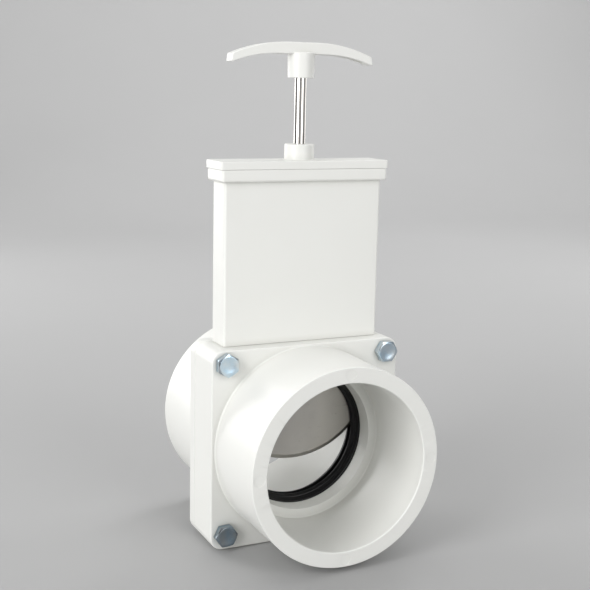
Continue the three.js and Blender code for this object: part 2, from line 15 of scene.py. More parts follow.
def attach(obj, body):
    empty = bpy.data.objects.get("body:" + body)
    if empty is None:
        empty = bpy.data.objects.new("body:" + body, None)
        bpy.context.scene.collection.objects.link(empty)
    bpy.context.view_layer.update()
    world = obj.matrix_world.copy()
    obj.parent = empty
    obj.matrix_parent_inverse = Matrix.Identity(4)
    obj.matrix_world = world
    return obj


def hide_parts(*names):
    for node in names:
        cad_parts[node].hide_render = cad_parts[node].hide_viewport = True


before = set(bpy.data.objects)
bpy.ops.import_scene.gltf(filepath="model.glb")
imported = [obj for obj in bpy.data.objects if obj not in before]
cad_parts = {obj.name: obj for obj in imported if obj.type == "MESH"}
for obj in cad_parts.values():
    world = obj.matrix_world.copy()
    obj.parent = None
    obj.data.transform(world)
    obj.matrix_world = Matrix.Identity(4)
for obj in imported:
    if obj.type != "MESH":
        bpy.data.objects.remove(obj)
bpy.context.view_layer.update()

# ---- driving dimensions, in millimetres -----------------------------------------------------
#
# Tops, bottoms, floors and undersides are heights above the pipe's axis. A name that ends in _Y
# is a distance from the gate's middle along the pipe.

AXIS_HEIGHT = 55.6
TO_ROW = Matrix.Scale(0.001, 4) @ Matrix.Translation((0, 0, AXIS_HEIGHT))
CONTACT_GAP = 0.3  # between pieces that touch
PAST = 1.0  # how far a cut or a hidden root reaches past the face that it meets

BODY_HALF_WIDTH = 55.2
BODY_BELOW_AXIS = AXIS_HEIGHT
BODY_ABOVE_AXIS = 54.2
BODY_HALF_DEPTH = 16.6
BODY_CORNER_RADIUS = 7.0
BODY_EDGE = 0.8
SEAM_EDGE = 0.6
SEAM_Y = 9.33
END_FACE_Y = 66.4
HUB_RADIUS = 53.0
HUB_ROOT_FILLET = 1.1
HUB_ROOT_SINK = 0.04  # how deep the foot of the fillet lies in the plate
FILLET_FOOT = 0.05  # flat ring outside the fillet, inside the plate
RIM_EDGE = 0.5
SOCKET_MOUTH_RADIUS = 44.6
SOCKET_STOP_RADIUS = 44.3
SOCKET_CHAMFER = 0.5
SOCKET_STOP_Y = 16.3
APPROACH_RADIUS = 39.2
PORT_RADIUS = 38.6
EJECTOR_RADIUS = 3.1
EJECTOR_DEPTH = 0.2

GATE_HALF_WIDTH = 41.0
GATE_HALF_THICKNESS = 1.2
GATE_TOP = 80.2
GATE_REST_BOTTOM = -14.8
GATE_CLOSED_BOTTOM = -41.0
GATE_ARC_RADIUS = 50.0
GATE_BEVEL_HEIGHT = 2.2
GATE_BEVEL_DEPTH = 0.8
GATE_TOP_CHAMFER = 4.0
GATE_CORNER_RADIUS = 1.0

SEAL_OUTER_RADIUS = 41.0
SEAL_LIP_RADIUS = 35.5
SEAL_MOUTH_RADIUS = 37.9
SEAL_BACK_Y = 7.0
SEAL_LIP_Y = 1.5
SEAL_LIP_WIDTH = 0.6
SEAL_MOUTH_WIDTH = 0.5
SEAL_GROOVE_Y = (3.6, 3.9, 4.7, 5.0)  # its near edge, near floor, far floor and far edge
SEAL_GROOVE_DEPTH = 0.35
SLOT_HALF_THICKNESS = 1.9
SLOT_SIDE_GAP = 0.4
SLOT_FLOOR_GAP = 0.6
PLUG_RADIUS = 46.0
BODY_RING_RADIUS = 49.6
BODY_RING_SECTION = 1.05
BODY_RING_Y = SEAM_Y - BODY_RING_SECTION - CONTACT_GAP / 2 - 0.1

STEM_RADIUS = 3.175
STEM_BOTTOM = 68.5
STEM_TOP = 207.7
RIVET_HEIGHTS = (76.8, 71.9)
RIVET_RADIUS = 1.2
RIVET_HEAD_RADIUS = 2.2
RIVET_HEAD_HEIGHT = 0.7
RIVET_HOLE_REACH = 9.0
FORK_RELIEF_HALF_WIDTH = 4.4
FORK_RELIEF_HALF_DEPTH = 4.7

BONNET_HALF_WIDTH = 45.85
BONNET_HALF_DEPTH = 8.5
BONNET_INNER_HALF_WIDTH = 41.6
BONNET_INNER_HALF_DEPTH = 5.7
BONNET_TOP = 147.5
BONNET_EDGE_RADIUS = 1.5
BONNET_FOOT_EDGE = 0.25
FLANGE_HALF_WIDTH = 48.2
FLANGE_HALF_DEPTH = 11.05
FLANGE_THICKNESS = 6.45
FLANGE_UNDER_EDGE = 1.3
FLANGE_TOP_EDGE = 0.3
SPIGOT_HALF_WIDTH = 42.8
SPIGOT_HALF_DEPTH = 7.0
SPIGOT_LENGTH = 3.2

CAP_HALF_WIDTH = 49.0
CAP_BOTTOM = 147.8
CAP_TOP = 151.9
CAP_UNDER_EDGE = 0.25
CAP_TOP_EDGE = 0.5
CAP_PLUG_LENGTH = 4.6
CAP_PLUG_WALL = 2.0
CAP_POCKET_RISE = 1.0  # how far the pockets reach above the cap's underside
CAP_POCKET_OFFSET = 1.0  # from the boss to a pocket
BOSS_RADIUS = 8.0
BOSS_FOOT = 0.9  # how far the root of the boss reaches past its side
BOSS_ROOT_SINK = 0.03
BOSS_TOP = 160.3
GLAND_BORE_RADIUS = 5.3
GLAND_FLOOR = 150.5
GLAND_BUSH_LENGTH = 5.6
GLAND_BUSH_CLEARANCE = 0.2
STEM_RING_SECTION = 0.76

HANDLE_UNDERSIDE = 194.8
HANDLE_HUB_RADIUS = 7.2
HANDLE_HUB_DRAFT = 0.15
HANDLE_HUB_TOP = 208.0
HANDLE_HALF_LENGTH = 41.0
HANDLE_HALF_DEPTH = 4.0
HANDLE_TOP = 213.2
HANDLE_CROWN_HALF_LENGTH = 8.0
HANDLE_CROWN_ARC = 82.0
HANDLE_ROOT_UNDERSIDE = 207.1
HANDLE_UNDERSIDE_STRAIGHT = 14.0
HANDLE_UNDERSIDE_ARC = 74.0
HANDLE_END_SLOPE = 0.8
HANDLE_EDGE = 0.5
CORE_START = 11.0
CORE_END = 37.0
CORE_HALF_DEPTH = 2.1
CORE_RISE = 2.4
INSERT_OUTER_RADIUS = 4.6
INSERT_LENGTH = 11.0

BOLT_X = 47.3
BOLT_Z = 46.9
BOLT_RADIUS = 3.175
BOLT_LENGTH = 38.1
THREAD_PITCH = 1.27
THREAD_DEPTH = 0.62
THREAD_LENGTH = 19.0
TIP_CHAMFER = 0.75
LEAD_IN = 0.35  # how far the nut's bore opens at its ends
HEX_ACROSS_FLATS = 11.11
HEX_CORNER_SHARE = 1.138  # reach of a rounded corner, as a share of half the flats
HEX_FLAT_SHARE = 0.93  # where the turned-down corners start, as a share of half the flats
HEX_CORNER_SLOPE = 0.55
HEAD_HEIGHT = 3.95
HEAD_DISH = 0.35
HEAD_DISH_SHARE = 0.82
NUT_HEIGHT = 5.56
NUT_POCKET_FLOOR_Y = 13.6
HOLE_CLEARANCE = 0.325
BOLTS = (  # corner, side in X, side in Z, degrees its head is turned
    ("upper_left", -1, 1, 30),
    ("upper_right", 1, 1, 2),
    ("lower_left", -1, -1, -5),
    ("lower_right", 1, -1, 17),
)

CEMENT_LINE = 0.08  # what is left open of a cemented joint

# How finely curves are divided.
ROUND_STEPS = 6
ARM_STEPS = 12
SLOT_STEPS = 48
RING_SECTION_STEPS = 16
RIVET_DOME_STEPS = 8
THREAD_STEPS_PER_PITCH = 10
HUB_SEGMENTS = 160
GATE_SEGMENTS = 360
BODY_RING_SEGMENTS = 96
BOSS_SEGMENTS = 72
STEM_SEGMENTS = 64
BORE_SEGMENTS = 48
SMALL_SEGMENTS = 40
RIVET_SEGMENTS = 32
RIVET_HOLE_SEGMENTS = 24
HEX_SEGMENTS = 144
HEX_RING_SHARES = (0.0, 0.3, 0.55, 0.7, 0.8, 0.86, 0.9, 0.94, 0.97, 1.0)


# ---- outlines -------------------------------------------------------------------------------

def rounded(corners, closed=True, steps=ROUND_STEPS):
    """Path through corners of (a, b, radius), with an arc at each corner that has a radius."""
    points = []
    last = len(corners) - 1
    for index, (a, b, radius) in enumerate(corners):
        if radius == 0 or (not closed and index in (0, last)):
            points.append((a, b))
            continue
        here = Vector((a, b))
        to_last = (Vector(corners[index - 1][:2]) - here).normalized()
        to_next = (Vector(corners[(index + 1) % len(corners)][:2]) - here).normalized()
        half_angle = to_last.angle(to_next) / 2
        centre = here + (to_last + to_next).normalized() * (radius / math.sin(half_angle))
        start = here + to_last * (radius / math.tan(half_angle)) - centre
        end = here + to_next * (radius / math.tan(half_angle)) - centre
        sweep = math.atan2(start.x * end.y - start.y * end.x, start.dot(end))
        for step in range(steps + 1):
            points.append(tuple(centre + Matrix.Rotation(sweep * step / steps, 2) @ start))
    return points


def rounded_rectangle(left, right, bottom, top, radius, steps=ROUND_STEPS):
    corners = [(left, bottom), (right, bottom), (right, top), (left, top)]
    return rounded([(a, b, radius) for a, b in corners], steps=steps)


def inset(outline, distance):
    """The anticlockwise closed outline moved inwards by distance."""
    shifted = []
    for index, point in enumerate(outline):
        before = Vector(outline[index - 1])
        here = Vector(point)
        after = Vector(outline[(index + 1) % len(outline)])
        first = (here - before).normalized()
        second = (after - here).normalized()
        normal_a = Vector((first.y, -first.x))
        normal_b = Vector((second.y, -second.x))
        share = distance / (1 + normal_a.dot(normal_b))
        shifted.append(tuple(here - (normal_a + normal_b) * share))
    return shifted


# ---- closed meshes --------------------------------------------------------------------------

def placed(axis, u, v, along):
    """A point from an outline's two coordinates and the one along axis."""
    return {"X": (along, u, v), "Y": (u, along, v), "Z": (u, v, along)}[axis]


def mesh_from(builder, name):
    mesh = bpy.data.meshes.new(name)
    builder.to_mesh(mesh)
    builder.free()
    return mesh


def finished(builder):
    """The closed mesh, with its faces turned outwards."""
    bmesh.ops.recalc_face_normals(builder, faces=builder.faces)
    return mesh_from(builder, "shape")


def linked(name, data):
    """A new object in the scene, made from a mesh, a light or a camera."""
    made = bpy.data.objects.new(name, data)
    bpy.context.scene.collection.objects.link(made)
    return made


def bridge(builder, first, second):
    """Faces between two rings of vertices. A ring of one vertex is a point on the axis."""
    count = max(len(first), len(second))
    for index in range(count):
        following = (index + 1) % count
        if len(first) == 1:
            builder.faces.new((first[0], second[index], second[following]))
        elif len(second) == 1:
            builder.faces.new((first[following], first[index], second[0]))
        else:
            builder.faces.new(
                (first[following], first[index], second[index], second[following]))


def turned(profile, segments, axis="Y", closed=False, radius_at=None):
    """Solid turned about axis. The profile's points are (radius, along).

    An open profile starts and ends on the axis. radius_at(angle, radius, along) bends a ring
    out of round.
    """
    builder = bmesh.new()
    rings = []
    for radius, along in profile:
        ring = []
        for index in range(1 if radius < 1e-9 else segments):
            angle = 2 * math.pi * index / segments
            reach = radius_at(angle, radius, along) if radius_at else radius
            ring.append(builder.verts.new(placed(
                axis, reach * math.cos(angle), reach * math.sin(angle), along)))
        rings.append(ring)
    for first, second in zip(rings, rings[1:]):
        bridge(builder, first, second)
    if closed:
        bridge(builder, rings[-1], rings[0])
    return finished(builder)


def disc(radius, low, high, segments, axis="Y"):
    return turned([(0, low), (radius, low), (radius, high), (0, high)], segments, axis)


def slab(outline, low, high, axis, edge_low=0.0, edge_high=0.0):
    """The anticlockwise outline extruded along axis, with its two rims rounded."""
    levels = quarter_levels(low, edge_low, 1)
    levels += list(reversed(quarter_levels(high, edge_high, -1)))
    builder = bmesh.new()
    rings = []
    for along, distance in levels:
        ring = inset(outline, distance) if distance else outline
        rings.append([builder.verts.new(placed(axis, u, v, along)) for u, v in ring])
    for first, second in zip(rings, rings[1:]):
        bridge(builder, first, second)
    builder.faces.new(rings[0])
    builder.faces.new(rings[-1])
    return finished(builder)


def quarter_levels(face, edge, inward):
    """(position, inset) of the rings that round one rim, from its face inwards."""
    if not edge:
        return [(face, 0)]
    levels = []
    for step in range(ROUND_STEPS + 1):
        angle = math.pi / 2 * step / ROUND_STEPS
        levels.append((face + inward * edge * (1 - math.cos(angle)), edge * (1 - math.sin(angle))))
    return levels


def block(low, high):
    """A plain box, for cutting with or for a hidden part of a piece."""
    outline = [(low[0], low[1]), (high[0], low[1]), (high[0], high[1]), (low[0], high[1])]
    return slab(outline, low[2], high[2], "Z")


def centred_block(half_width, half_depth, low, high):
    return block((-half_width, -half_depth, low), (half_width, half_depth, high))


def moved(mesh, x=0.0, y=0.0, z=0.0):
    mesh.transform(Matrix.Translation((x, y, z)))
    return mesh


def combined(mesh, others, operation):
    """mesh combined with each other mesh in turn. The others are used up."""
    target = linked("target", mesh)
    for other in others:
        tool = linked("tool", other)
        boolean = target.modifiers.new("boolean", "BOOLEAN")
        boolean.operation = operation
        boolean.solver = "MANIFOLD"
        boolean.object = tool
        graph = bpy.context.evaluated_depsgraph_get()
        result = bpy.data.meshes.new_from_object(target.evaluated_get(graph))
        target.modifiers.clear()
        target.data = result
        bpy.data.objects.remove(tool)
        bpy.data.meshes.remove(other)
    result = target.data
    bpy.data.objects.remove(target)
    return result


def join(mesh, *others):
    return combined(mesh, others, "UNION")


def cut(mesh, *others):
    return combined(mesh, others, "DIFFERENCE")


def smooth_faces(mesh):
    for polygon in mesh.polygons:
        polygon.use_smooth = True


# ---- body halves ----------------------------------------------------------------------------

def body_outline():
    return rounded_rectangle(
        -BODY_HALF_WIDTH, BODY_HALF_WIDTH, -BODY_BELOW_AXIS, BODY_ABOVE_AXIS,
        BODY_CORNER_RADIUS, steps=10)


def sided(profile, side):
    """A profile drawn outwards along +Y, put on the side asked for."""
    return [(radius, along * side) for radius, along in profile]


def hub(side):
    """Pipe hub from inside the plate to its rounded rim."""
    root = BODY_HALF_DEPTH - HUB_ROOT_SINK
    foot = HUB_RADIUS + HUB_ROOT_FILLET + FILLET_FOOT
    profile = rounded([
        (0, root - PAST, 0),
        (foot, root - PAST, 0),
        (foot, root, 0),
        (HUB_RADIUS, root, HUB_ROOT_FILLET),
        (HUB_RADIUS, END_FACE_Y, RIM_EDGE),
        (0, END_FACE_Y, 0),
    ], closed=False)
    return turned(sided(profile, side), HUB_SEGMENTS)


def passage(side):
    """Water passage of one hub, with its socket, stop ledge, approach bore and port."""
    outside = END_FACE_Y + 2
    wide = SOCKET_MOUTH_RADIUS + 3
    just_past = END_FACE_Y + 0.02
    profile = rounded([
        (0, outside, 0),
        (wide, outside, 0),
        (wide, just_past, 0),
        (SOCKET_MOUTH_RADIUS + SOCKET_CHAMFER, just_past, 0.5),
        (SOCKET_MOUTH_RADIUS, END_FACE_Y - SOCKET_CHAMFER, 0.6),
        (SOCKET_STOP_RADIUS, SOCKET_STOP_Y, 0.7),
        (APPROACH_RADIUS, SOCKET_STOP_Y, 0.35),
        (PORT_RADIUS, SEAL_BACK_Y + CONTACT_GAP, 0),
        (PORT_RADIUS, 0, 0),
        (0, 0, 0),
    ], closed=False)
    return turned(sided(profile, side), HUB_SEGMENTS)


def ejector_marks(side):
    """Shallow round marks that the mould's ejector pins leave on the rim, four to a hub."""
    middle = (HUB_RADIUS + SOCKET_MOUTH_RADIUS + SOCKET_CHAMFER) / 2
    face = side * END_FACE_Y
    marks = []
    for quarter in range(4):
        angle = quarter * math.pi / 2
        mark = disc(EJECTOR_RADIUS, face - EJECTOR_DEPTH, face + EJECTOR_DEPTH, SMALL_SEGMENTS)
        marks.append(moved(mark, middle * math.cos(angle), 0, middle * math.sin(angle)))
    return marks


def bolt_holes(low, high):
    radius = BOLT_RADIUS + HOLE_CLEARANCE
    return [moved(disc(radius, low, high, SMALL_SEGMENTS), x * BOLT_X, 0, z * BOLT_Z)
            for _, x, z, _ in BOLTS]


def nut_pockets():
    """Hexagonal pockets in the rear half that keep the nuts from turning."""
    reach = (HEX_ACROSS_FLATS / 2 + CONTACT_GAP) / math.cos(math.pi / 6)
    pockets = []
    for _, x, z, _ in BOLTS:
        outline = [(x * BOLT_X + reach * math.cos(step * math.pi / 3),
                    z * BOLT_Z + reach * math.sin(step * math.pi / 3)) for step in range(6)]
        pockets.append(slab(outline, NUT_POCKET_FLOOR_Y, BODY_HALF_DEPTH + PAST, "Y"))
    return pockets


def gate_slot():
    half_width = GATE_HALF_WIDTH + SLOT_SIDE_GAP
    middle = GATE_CLOSED_BOTTOM - SLOT_FLOOR_GAP + GATE_ARC_RADIUS
    swing = math.asin(half_width / GATE_ARC_RADIUS)
    outline = [(half_width, BODY_ABOVE_AXIS + PAST), (-half_width, BODY_ABOVE_AXIS + PAST)]
    for step in range(SLOT_STEPS + 1):
        angle = -math.pi / 2 - swing + 2 * swing * step / SLOT_STEPS
        outline.append(
            (GATE_ARC_RADIUS * math.cos(angle), middle + GATE_ARC_RADIUS * math.sin(angle)))
    return slab(outline, -SLOT_HALF_THICKNESS, SLOT_HALF_THICKNESS, "Y")


def fork_relief():
    floor = SEAL_OUTER_RADIUS + 3 * CONTACT_GAP
    return centred_block(
        FORK_RELIEF_HALF_WIDTH, FORK_RELIEF_HALF_DEPTH, floor, BODY_ABOVE_AXIS + PAST)


def seal_pocket(side):
    high = SEAL_BACK_Y + CONTACT_GAP
    return turned(
        sided([(0, 0), (SEAL_OUTER_RADIUS + CONTACT_GAP, 0),
               (SEAL_OUTER_RADIUS + CONTACT_GAP, high), (0, high)], side), HUB_SEGMENTS)


def bonnet_recess():
    floor = BODY_ABOVE_AXIS - SPIGOT_LENGTH - CONTACT_GAP
    return centred_block(
        SPIGOT_HALF_WIDTH + CONTACT_GAP, SPIGOT_HALF_DEPTH + CONTACT_GAP,
        floor, BODY_ABOVE_AXIS + PAST)


def ring_groove():
    reach = BODY_RING_SECTION + CONTACT_GAP
    low, high = SEAM_Y - 2 * reach, SEAM_Y + PAST
    inner, outer = BODY_RING_RADIUS - reach, BODY_RING_RADIUS + reach
    profile = [(inner, low), (outer, low), (outer, high), (inner, high)]
    return turned(profile, BODY_RING_SEGMENTS, closed=True)


def front_body():
    face = SEAM_Y - CONTACT_GAP / 2
    plate = slab(body_outline(), -BODY_HALF_DEPTH, face, "Y", BODY_EDGE, SEAM_EDGE)
    plug_seat = SLOT_HALF_THICKNESS - 0.05
    return cut(
        join(plate, hub(-1)),
        passage(-1),
        disc(PORT_RADIUS, -PAST, face + PAST, HUB_SEGMENTS),
        seal_pocket(-1),
        disc(PLUG_RADIUS + CONTACT_GAP, plug_seat, face + PAST, HUB_SEGMENTS),
        gate_slot(), fork_relief(), bonnet_recess(), ring_groove(),
        *bolt_holes(-END_FACE_Y, END_FACE_Y), *ejector_marks(-1))


def rear_body():
    face = SEAM_Y + CONTACT_GAP / 2
    plate = slab(body_outline(), face, BODY_HALF_DEPTH, "Y", SEAM_EDGE, BODY_EDGE)
    plug = disc(PLUG_RADIUS, SLOT_HALF_THICKNESS + CONTACT_GAP, face + PAST, HUB_SEGMENTS)
    return cut(
        join(plate, hub(1), plug),
        passage(1), seal_pocket(1), fork_relief(),
        *bolt_holes(-END_FACE_Y, END_FACE_Y), *nut_pockets(), *ejector_marks(1))


# ---- seals and rings ------------------------------------------------------------------------

def gate_seal(side):
    """Rubber ring whose bore narrows, past one shallow groove, to the lip against the gate."""
    taper_start = SEAL_LIP_Y + SEAL_LIP_WIDTH
    taper_end = SEAL_BACK_Y - SEAL_MOUTH_WIDTH
    fall = (SEAL_MOUTH_RADIUS - SEAL_LIP_RADIUS) / (taper_end - taper_start)
    near_edge, near_floor, far_floor, far_edge = SEAL_GROOVE_Y

    def bore(y, sink=0.0):
        return SEAL_LIP_RADIUS + fall * (y - taper_start) + sink

    profile = rounded([
        (SEAL_LIP_RADIUS, SEAL_LIP_Y, 0.25),
        (SEAL_OUTER_RADIUS - 1, SEAL_LIP_Y, 0.5),
        (SEAL_OUTER_RADIUS, SEAL_LIP_Y + 1, 0.3),
        (SEAL_OUTER_RADIUS, SEAL_BACK_Y, 0.3),
        (SEAL_MOUTH_RADIUS, SEAL_BACK_Y, 0.25),
        (SEAL_MOUTH_RADIUS, taper_end, 0.2),
        (bore(far_edge), far_edge, 0.15),
        (bore(far_floor, SEAL_GROOVE_DEPTH), far_floor, 0.2),
        (bore(near_floor, SEAL_GROOVE_DEPTH), near_floor, 0.2),
        (bore(near_edge), near_edge, 0.15),
        (SEAL_LIP_RADIUS, taper_start, 0.25),
    ], steps=4)
    return turned(sided(profile, side), HUB_SEGMENTS, closed=True)


def o_ring(radius, section, along, axis, segments):
    angles = [2 * math.pi * step / RING_SECTION_STEPS for step in range(RING_SECTION_STEPS)]
    profile = [(radius + section * math.cos(angle), along + section * math.sin(angle))
               for angle in angles]
    return turned(profile, segments, axis, closed=True)


# ---- gate, stem and rivets ------------------------------------------------------------------

def rivet_holes():
    radius = RIVET_RADIUS + CONTACT_GAP
    return [moved(disc(radius, -RIVET_HOLE_REACH, RIVET_HOLE_REACH, RIVET_HOLE_SEGMENTS), z=height)
            for height in RIVET_HEIGHTS]


def gate():
    """Plate with an arched lower edge, bevelled on both faces, and every rim just broken."""
    middle = GATE_REST_BOTTOM + GATE_ARC_RADIUS
    shoulder = GATE_ARC_RADIUS - GATE_BEVEL_HEIGHT
    edge = GATE_HALF_THICKNESS - GATE_BEVEL_DEPTH
    arched = moved(turned(rounded([
        (0, -GATE_HALF_THICKNESS, 0),
        (shoulder, -GATE_HALF_THICKNESS, 0.5),
        (GATE_ARC_RADIUS, -edge, 0.2),
        (GATE_ARC_RADIUS, edge, 0.2),
        (shoulder, GATE_HALF_THICKNESS, 0.5),
        (0, GATE_HALF_THICKNESS, 0),
    ], closed=False, steps=4), GATE_SEGMENTS), z=middle)
    below_middle = centred_block(
        GATE_HALF_WIDTH, GATE_HALF_THICKNESS + PAST, GATE_REST_BOTTOM - PAST, middle)
    low_half = combined(arched, [below_middle], "INTERSECT")
    upper = slab(rounded([
        (-GATE_HALF_WIDTH, middle - PAST, 0),
        (GATE_HALF_WIDTH, middle - PAST, 0),
        (GATE_HALF_WIDTH, GATE_TOP - GATE_TOP_CHAMFER, GATE_CORNER_RADIUS),
        (GATE_HALF_WIDTH - GATE_TOP_CHAMFER, GATE_TOP, GATE_CORNER_RADIUS),
        (-GATE_HALF_WIDTH + GATE_TOP_CHAMFER, GATE_TOP, GATE_CORNER_RADIUS),
        (-GATE_HALF_WIDTH, GATE_TOP - GATE_TOP_CHAMFER, GATE_CORNER_RADIUS),
    ]), -GATE_HALF_THICKNESS, GATE_HALF_THICKNESS, "Y")
    return cut(join(low_half, upper), *rivet_holes())


def stem():
    bar = turned(rounded([
        (0, STEM_BOTTOM, 0),
        (STEM_RADIUS, STEM_BOTTOM, 0.5),
        (STEM_RADIUS, STEM_TOP, 0.8),
        (0, STEM_TOP, 0),
    ], closed=False), STEM_SEGMENTS, "Z")
    fork_slot = centred_block(
        STEM_RADIUS + PAST, GATE_HALF_THICKNESS + CONTACT_GAP,
        STEM_BOTTOM - PAST, GATE_TOP + CONTACT_GAP)
    return cut(bar, fork_slot, *rivet_holes())


def rivet(height):
    """Pin with a domed head at each end."""
    seat = STEM_RADIUS + CONTACT_GAP
    angles = [math.pi / 2 * step / RIVET_DOME_STEPS for step in range(RIVET_DOME_STEPS)]
    dome = [(RIVET_HEAD_RADIUS * math.cos(angle), seat + RIVET_HEAD_HEIGHT * math.sin(angle))
            for angle in angles]
    half = [(RIVET_RADIUS, seat)] + dome + [(0, seat + RIVET_HEAD_HEIGHT)]
    profile = [(radius, -along) for radius, along in reversed(half)] + half
    return moved(turned(profile, RIVET_SEGMENTS), z=height)


# ---- bonnet and its cap ---------------------------------------------------------------------

def bonnet_outline(half_width, half_depth):
    return rounded_rectangle(
        -half_width, half_width, -half_depth, half_depth, BONNET_EDGE_RADIUS, steps=8)


def bonnet():
    bottom = BODY_ABOVE_AXIS + CEMENT_LINE
    spigot_bottom = BODY_ABOVE_AXIS - SPIGOT_LENGTH
    wall = slab(
        bonnet_outline(BONNET_HALF_WIDTH, BONNET_HALF_DEPTH),
        bottom, BONNET_TOP - PAST, "Z", BONNET_FOOT_EDGE)
    flange = slab(
        bonnet_outline(FLANGE_HALF_WIDTH, FLANGE_HALF_DEPTH),
        BONNET_TOP - FLANGE_THICKNESS, BONNET_TOP, "Z", FLANGE_UNDER_EDGE, FLANGE_TOP_EDGE)
    spigot = centred_block(SPIGOT_HALF_WIDTH, SPIGOT_HALF_DEPTH, spigot_bottom, bottom + PAST)
    chamber = centred_block(
        BONNET_INNER_HALF_WIDTH, BONNET_INNER_HALF_DEPTH, spigot_bottom - PAST, BONNET_TOP + PAST)
    return cut(join(wall, flange, spigot), chamber)


def cap_pocket(side):
    """Recess in the cap's plug, on one side of the boss."""
    inner = BOSS_RADIUS + CAP_POCKET_OFFSET
    outer = BONNET_INNER_HALF_WIDTH - CONTACT_GAP - CAP_PLUG_WALL
    half_depth = BONNET_INNER_HALF_DEPTH - CONTACT_GAP - CAP_PLUG_WALL
    near, far = sorted((side * inner, side * outer))
    return block((near, -half_depth, CAP_BOTTOM - CAP_PLUG_LENGTH - PAST),
                 (far, half_depth, CAP_BOTTOM + CAP_POCKET_RISE))


def bonnet_cap():
    plate = slab(
        bonnet_outline(CAP_HALF_WIDTH, FLANGE_HALF_DEPTH),
        BONNET_TOP + CEMENT_LINE, CAP_TOP, "Z", CAP_UNDER_EDGE, CAP_TOP_EDGE)
    root = CAP_TOP - BOSS_ROOT_SINK
    boss = turned(rounded([
        (0, root - PAST, 0),
        (BOSS_RADIUS + BOSS_FOOT, root - PAST, 0),
        (BOSS_RADIUS + BOSS_FOOT, root, 0),
        (BOSS_RADIUS, root, 0.7),
        (BOSS_RADIUS, BOSS_TOP, 0.6),
        (0, BOSS_TOP, 0),
    ], closed=False), BOSS_SEGMENTS, "Z")
    plug = centred_block(
        BONNET_INNER_HALF_WIDTH - CONTACT_GAP, BONNET_INNER_HALF_DEPTH - CONTACT_GAP,
        CAP_BOTTOM - CAP_PLUG_LENGTH, CAP_BOTTOM + PAST)
    just_past = BOSS_TOP + 0.01
    gland = turned(rounded([
        (0, BOSS_TOP + PAST, 0),
        (GLAND_BORE_RADIUS + PAST, BOSS_TOP + PAST, 0),
        (GLAND_BORE_RADIUS + PAST, just_past, 0),
        (GLAND_BORE_RADIUS, just_past, 0.3),
        (GLAND_BORE_RADIUS, GLAND_FLOOR, 0.2),
        (0, GLAND_FLOOR, 0),
    ], closed=False), STEM_SEGMENTS, "Z")
    return cut(
        join(plate, boss, plug), gland,
        disc(STEM_RADIUS + HOLE_CLEARANCE, CAP_BOTTOM - CAP_PLUG_LENGTH - PAST,
             GLAND_FLOOR + PAST, SMALL_SEGMENTS, "Z"),
        cap_pocket(-1), cap_pocket(1))


def stem_ring(index):
    pitch = 2 * STEM_RING_SECTION + CONTACT_GAP
    height = GLAND_FLOOR + CONTACT_GAP + STEM_RING_SECTION + index * pitch
    radius = STEM_RADIUS + CONTACT_GAP + STEM_RING_SECTION
    return o_ring(radius, STEM_RING_SECTION, height, "Z", BORE_SEGMENTS)


def gland_bush():
    inner = STEM_RADIUS + GLAND_BUSH_CLEARANCE
    outer = GLAND_BORE_RADIUS - CONTACT_GAP
    low = BOSS_TOP - GLAND_BUSH_LENGTH
    profile = rounded([
        (inner, low, 0.2), (outer, low, 0.3), (outer, BOSS_TOP, 0.3), (inner, BOSS_TOP, 0.4)])
    return turned(profile, STEM_SEGMENTS, "Z", closed=True)


# ---- handle ---------------------------------------------------------------------------------

def arm_edge(height, straight_end, arc, end):
    """Points along one arm's edge, from the end of its level part outwards on a falling arc."""
    points = []
    for step in range(ARM_STEPS + 1):
        x = straight_end + (end - straight_end) * step / ARM_STEPS
        points.append((x, height - arc + math.sqrt(arc ** 2 - (x - straight_end) ** 2)))
    return points


def handle_outline():
    top = arm_edge(
        HANDLE_TOP, HANDLE_CROWN_HALF_LENGTH, HANDLE_CROWN_ARC,
        HANDLE_HALF_LENGTH - HANDLE_END_SLOPE)
    under = arm_edge(
        HANDLE_ROOT_UNDERSIDE, HANDLE_UNDERSIDE_STRAIGHT, HANDLE_UNDERSIDE_ARC,
        HANDLE_HALF_LENGTH)
    right = [(x, z, 0) for x, z in under[:-1]] + [(*under[-1], 0.6), (*top[-1], 0.65)]
    right += [(x, z, 0) for x, z in reversed(top[:-1])]
    left = [(-x, z, radius) for x, z, radius in reversed(right)]
    return rounded(right + left)


def arm_core(side):
    """Hollow that the moulding leaves in an arm's underside."""
    ceiling = arm_edge(
        HANDLE_ROOT_UNDERSIDE + CORE_RISE, HANDLE_UNDERSIDE_STRAIGHT, HANDLE_UNDERSIDE_ARC,
        CORE_END)
    floor = HANDLE_ROOT_UNDERSIDE - HANDLE_HUB_RADIUS
    points = [(CORE_START, floor), (ceiling[-1][0], floor)]
    points += list(reversed(ceiling)) + [(CORE_START, HANDLE_ROOT_UNDERSIDE + CORE_RISE)]
    outline = [(side * x, z) for x, z in points]
    if side < 0:
        outline.reverse()
    return slab(outline, -CORE_HALF_DEPTH, CORE_HALF_DEPTH, "Y")


